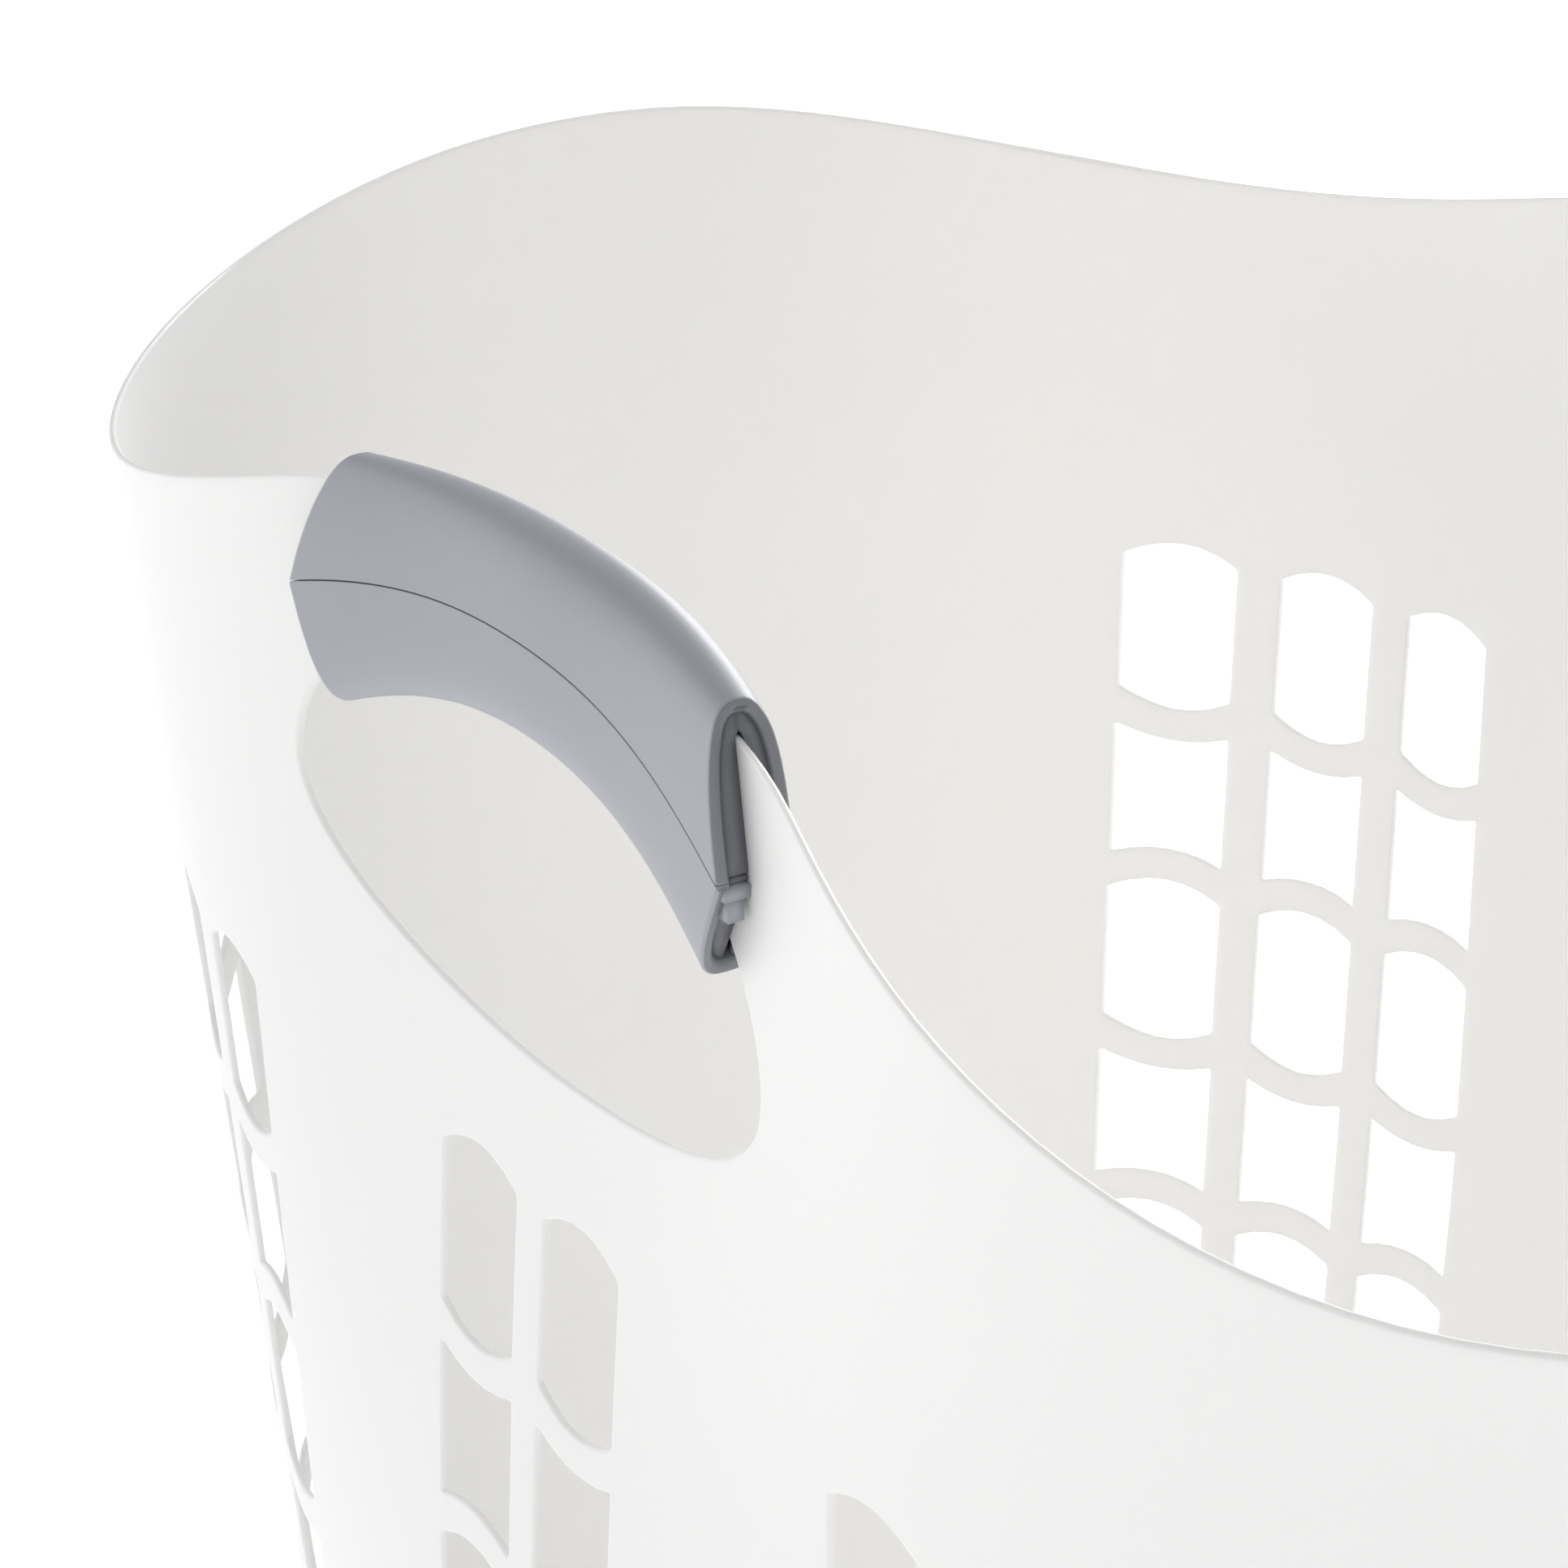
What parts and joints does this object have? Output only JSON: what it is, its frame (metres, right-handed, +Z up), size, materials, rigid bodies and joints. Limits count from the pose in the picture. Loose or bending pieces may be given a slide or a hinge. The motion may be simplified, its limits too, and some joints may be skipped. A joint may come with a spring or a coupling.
{
  "type": "laundry hamper",
  "caption": "Tall tapered plastic laundry hamper with perforated walls, a wavy rim, and an oval hand hole under a two-shell grip at each end.",
  "frame": {"origin": "middle of the base, on the floor", "axes": "+Z up; the handles are at -X and +X; the front is at -Y"},
  "size_m": [0.2876, 0.4571, 0.5945],
  "materials": {
    "white_shell": "satin white polypropylene",
    "grey_grip": "satin cool grey plastic"
  },
  "bodies": {
    "root": {"body": "white_shell", "grip_left_upper": "grey_grip", "grip_left_lower": "grey_grip", "grip_right_upper": "grey_grip", "grip_right_lower": "grey_grip"}
  },
  "joints": []
}
